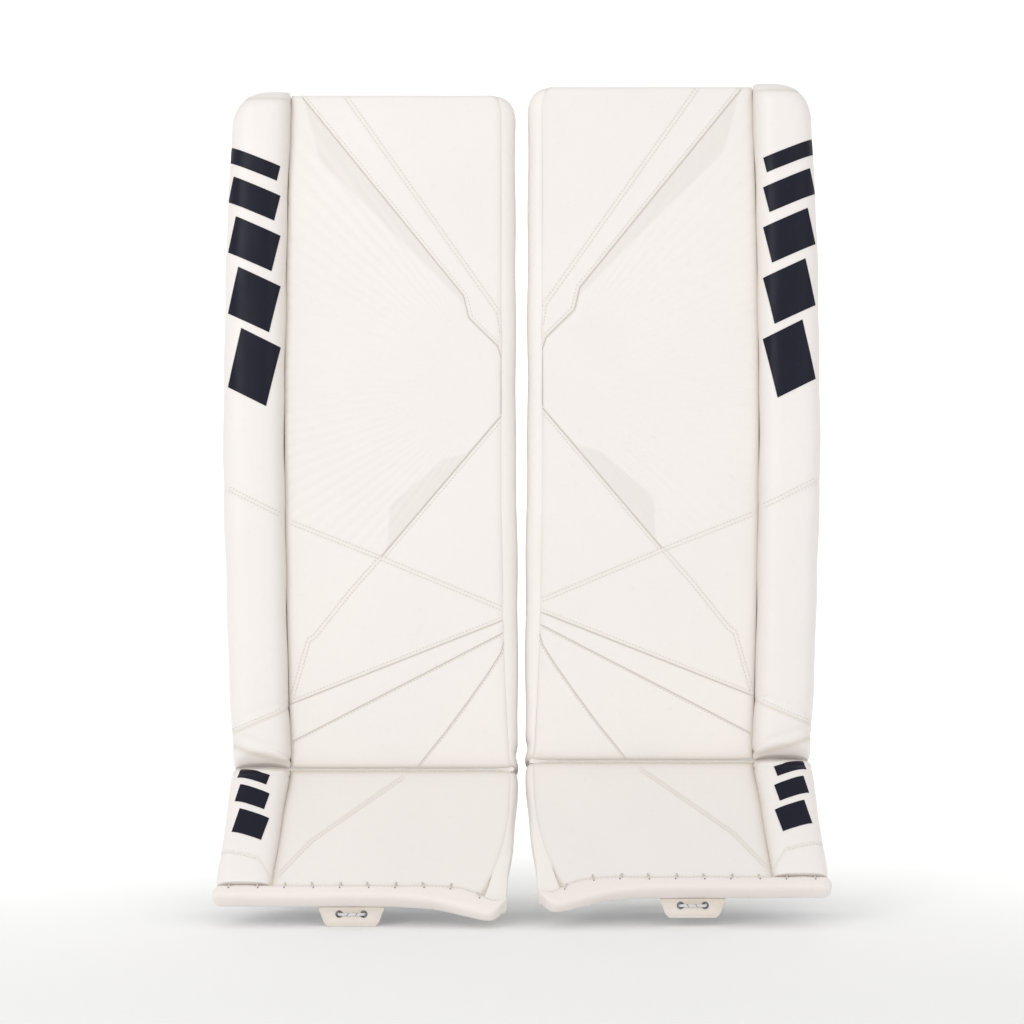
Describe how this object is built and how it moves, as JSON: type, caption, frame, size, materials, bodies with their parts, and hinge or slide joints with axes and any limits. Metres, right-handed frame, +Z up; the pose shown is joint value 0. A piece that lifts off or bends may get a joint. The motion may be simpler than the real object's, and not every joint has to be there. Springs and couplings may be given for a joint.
{
  "type": "goalie leg pads",
  "caption": "Pair of white goalie leg pads: flat faces, padded outer rolls, flexing boots with laced toe bindings, toe tabs with elastic ties, and wings and straps that open round the leg.",
  "frame": {"origin": "middle of the pair in X and Y, at the height of the lowest point of the wearer's right pad's toe tab", "axes": "+Z up the leg as worn, the flat faces look towards -Y, the wearer's right pad is at -X"},
  "size_m": [0.5698, 0.3348, 0.788],
  "materials": {
    "face_skin": "satin",
    "roll_skin": "satin",
    "wall_skin": "satin",
    "knee_skin": "satin",
    "wing_skin": "satin",
    "binding": "satin",
    "tab_leather": "satin",
    "foam": "matte",
    "stiffener": "matte",
    "backing": "matte",
    "lining": "matte",
    "webbing": "matte",
    "elastic": "matte",
    "thread": "matte",
    "emblem_film": "satin",
    "trim_plastic": "satin",
    "eyelet_metal": "satin"
  },
  "bodies": {
    "right_shin": {"right_shin_core": "foam", "right_stiffener_sheet": "stiffener", "right_face_cover": "face_skin", "right_outer_roll": "roll_skin", "right_inner_side_wall": "wall_skin", "right_outer_side_wall": "wall_skin", "right_back_panel": "backing", "right_shin_cradle": "lining", "right_knee_block": "knee_skin", "right_thigh_lining": "lining", "right_inner_calf_wedge": "wing_skin", "right_shin_emblem": "emblem_film", "right_strap_hardware": "trim_plastic"},
    "right_boot": {"right_boot_core": "foam", "right_boot_cover": "face_skin", "right_boot_roll": "roll_skin", "right_boot_side_walls": "wall_skin", "right_toe_binding": "binding", "right_binding_stitches": "thread", "right_boot_back_lining": "backing", "right_boot_emblem": "emblem_film", "right_boot_ring": "trim_plastic"},
    "right_tab": {"right_toe_tab": "tab_leather", "right_toe_eyelets": "eyelet_metal", "right_toe_tie": "elastic"},
    "right_calf_wing_body": {"right_calf_wing": "wing_skin"},
    "right_knee_wing_body": {"right_knee_wing": "wing_skin"},
    "right_calf_strap_body": {"right_calf_strap": "webbing"},
    "right_knee_strap_body": {"right_knee_strap": "webbing"},
    "right_boot_strap_body": {"right_boot_strap": "webbing"},
    "left_shin": {"left_shin_core": "foam", "left_stiffener_sheet": "stiffener", "left_face_cover": "face_skin", "left_outer_roll": "roll_skin", "left_inner_side_wall": "wall_skin", "left_outer_side_wall": "wall_skin", "left_back_panel": "backing", "left_shin_cradle": "lining", "left_knee_block": "knee_skin", "left_thigh_lining": "lining", "left_inner_calf_wedge": "wing_skin", "left_shin_emblem": "emblem_film", "left_strap_hardware": "trim_plastic"},
    "left_boot": {"left_boot_core": "foam", "left_boot_cover": "face_skin", "left_boot_roll": "roll_skin", "left_boot_side_walls": "wall_skin", "left_toe_binding": "binding", "left_binding_stitches": "thread", "left_boot_back_lining": "backing", "left_boot_emblem": "emblem_film", "left_boot_ring": "trim_plastic"},
    "left_tab": {"left_toe_tab": "tab_leather", "left_toe_eyelets": "eyelet_metal", "left_toe_tie": "elastic"},
    "left_calf_wing_body": {"left_calf_wing": "wing_skin"},
    "left_knee_wing_body": {"left_knee_wing": "wing_skin"},
    "left_calf_strap_body": {"left_calf_strap": "webbing"},
    "left_knee_strap_body": {"left_knee_strap": "webbing"},
    "left_boot_strap_body": {"left_boot_strap": "webbing"}
  },
  "joints": [
    {"name": "right_boot_flex", "type": "hinge", "parent": "right_shin", "child": "right_boot", "pos_m": [-0.1455, -0.052, 0.137], "axis": [-1, 0, 0], "range_deg": [-12, 15]},
    {"name": "right_toe_tab_flex", "type": "hinge", "parent": "right_boot", "child": "right_tab", "pos_m": [-0.1575, -0.1386, 0.016], "axis": [-1, 0, 0], "range_deg": [-30, 50]},
    {"name": "right_calf_wing_swing", "type": "hinge", "parent": "right_shin", "child": "right_calf_wing_body", "pos_m": [-0.2673, 0.005, 0.305], "axis": [0, 0, 1], "range_deg": [0, 75]},
    {"name": "right_knee_wing_swing", "type": "hinge", "parent": "right_shin", "child": "right_knee_wing_body", "pos_m": [-0.2673, 0.005, 0.51], "axis": [0, 0, 1], "range_deg": [0, 75]},
    {"name": "right_calf_strap_open", "type": "hinge", "parent": "right_calf_wing_body", "child": "right_calf_strap_body", "pos_m": [-0.22625, 0.15345, 0.305], "axis": [0, 0, 1], "range_deg": [0, 120]},
    {"name": "right_knee_strap_open", "type": "hinge", "parent": "right_knee_wing_body", "child": "right_knee_strap_body", "pos_m": [-0.24205, 0.14318, 0.51], "axis": [0, 0, 1], "range_deg": [0, 110]},
    {"name": "right_boot_strap_open", "type": "hinge", "parent": "right_boot", "child": "right_boot_strap_body", "pos_m": [-0.205, -0.0393, 0.0773], "axis": [0, 0.682, 0.7314], "range_deg": [0, 100]},
    {"name": "pads_apart", "type": "slide", "parent": "right_shin", "child": "left_shin", "axis": [1, 0, 0], "range_m": [0, 0.25]},
    {"name": "left_boot_flex", "type": "hinge", "parent": "left_shin", "child": "left_boot", "pos_m": [0.1455, -0.052, 0.145], "axis": [-1, 0, 0], "range_deg": [-12, 15]},
    {"name": "left_toe_tab_flex", "type": "hinge", "parent": "left_boot", "child": "left_tab", "pos_m": [0.1575, -0.1386, 0.024], "axis": [-1, 0, 0], "range_deg": [-30, 50]},
    {"name": "left_calf_wing_swing", "type": "hinge", "parent": "left_shin", "child": "left_calf_wing_body", "pos_m": [0.2673, 0.005, 0.313], "axis": [0, 0, -1], "range_deg": [0, 75]},
    {"name": "left_knee_wing_swing", "type": "hinge", "parent": "left_shin", "child": "left_knee_wing_body", "pos_m": [0.2673, 0.005, 0.518], "axis": [0, 0, -1], "range_deg": [0, 75]},
    {"name": "left_calf_strap_open", "type": "hinge", "parent": "left_calf_wing_body", "child": "left_calf_strap_body", "pos_m": [0.22625, 0.15345, 0.313], "axis": [0, 0, -1], "range_deg": [0, 120]},
    {"name": "left_knee_strap_open", "type": "hinge", "parent": "left_knee_wing_body", "child": "left_knee_strap_body", "pos_m": [0.24205, 0.14318, 0.518], "axis": [0, 0, -1], "range_deg": [0, 110]},
    {"name": "left_boot_strap_open", "type": "hinge", "parent": "left_boot", "child": "left_boot_strap_body", "pos_m": [0.205, -0.0393, 0.0853], "axis": [0, -0.682, -0.7314], "range_deg": [0, 100]}
  ]
}
